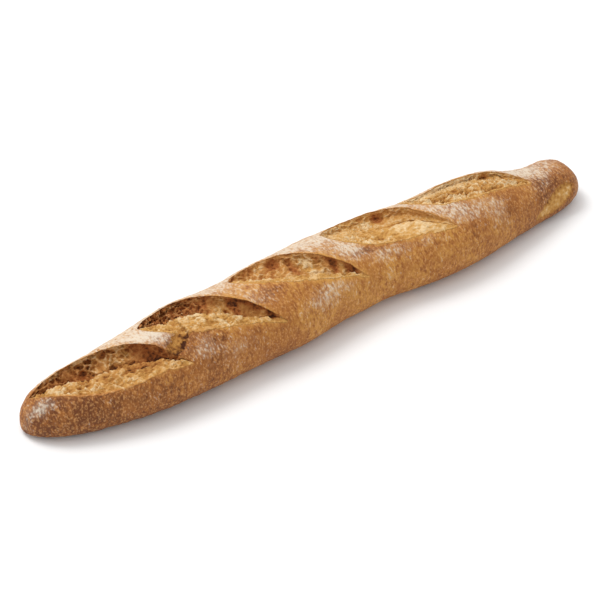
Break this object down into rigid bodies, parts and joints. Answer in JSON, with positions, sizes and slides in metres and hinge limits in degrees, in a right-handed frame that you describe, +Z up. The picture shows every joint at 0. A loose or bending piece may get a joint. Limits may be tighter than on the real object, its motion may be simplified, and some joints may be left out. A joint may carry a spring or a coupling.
{
  "type": "rustic baguette",
  "caption": "Long crusty bread loaf with raised, torn diagonal slashes along its top and a flat base to rest on.",
  "frame": {"origin": "centre of the loaf's bounding box, on the flat base it rests on", "axes": "+X along the loaf towards its narrower tail, +Z up, slashes on top with their raised lips towards +Y"},
  "size_m": [0.54, 0.0848, 0.0605],
  "materials": {
    "crust": "baked golden-brown crust with flour, matte"
  },
  "bodies": {
    "root": {"baguette": "crust"}
  },
  "joints": []
}
